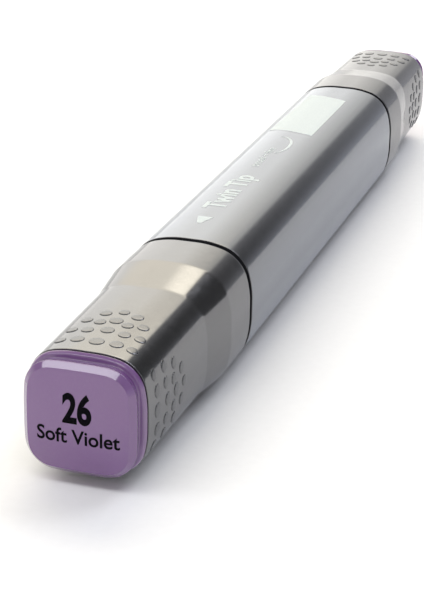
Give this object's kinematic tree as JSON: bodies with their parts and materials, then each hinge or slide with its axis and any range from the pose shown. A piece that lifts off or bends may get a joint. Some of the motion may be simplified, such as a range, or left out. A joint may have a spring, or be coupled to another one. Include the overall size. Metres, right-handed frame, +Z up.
{
  "type": "felt tip marker",
  "caption": "Square-barrelled felt tip marker with a chisel nib and a fine nib, each under a stepped pull-off cap closed by a coloured end plug.",
  "frame": {"origin": "on the surface the marker lies on, under the middle of its length", "axes": "+Y along the marker from the broad tip's cap to the fine tip's cap, +Z up out of the surface, +X to the right seen from the broad end"},
  "size_m": [0.016, 0.1466, 0.016],
  "materials": {
    "grey_shell": "satin silver-grey moulded plastic",
    "violet_plug": "satin violet moulded plastic",
    "black_seal": "matt black",
    "holder_plastic": "pale grey moulded plastic",
    "liner_plastic": "natural moulded plastic",
    "nib_felt": "violet felt soaked with ink",
    "core_fibre": "ink-soaked fibre bundle",
    "film": "clear wrap",
    "tip_sleeve": "smooth plastic"
  },
  "bodies": {
    "marker_body": {"barrel": "grey_shell", "ink_reservoir": "core_fibre", "reservoir_film": "film", "broad_holder": "holder_plastic", "broad_nib": "nib_felt", "broad_seal_ring": "black_seal", "fine_holder": "holder_plastic", "fine_nib": "nib_felt", "fine_tip_sleeve": "tip_sleeve", "fine_seal_ring": "black_seal"},
    "broad_cap": {"broad_cap_shell": "grey_shell", "broad_cap_liner": "liner_plastic", "broad_cap_plug": "violet_plug"},
    "fine_cap": {"fine_cap_shell": "grey_shell", "fine_cap_liner": "liner_plastic", "fine_cap_plug": "violet_plug"}
  },
  "joints": [
    {"name": "broad_cap_pull", "type": "slide", "parent": "marker_body", "child": "broad_cap", "axis": [0, -1, 0], "range_m": [0, 0.036]},
    {"name": "fine_cap_pull", "type": "slide", "parent": "marker_body", "child": "fine_cap", "axis": [0, 1, 0], "range_m": [0, 0.036]}
  ]
}
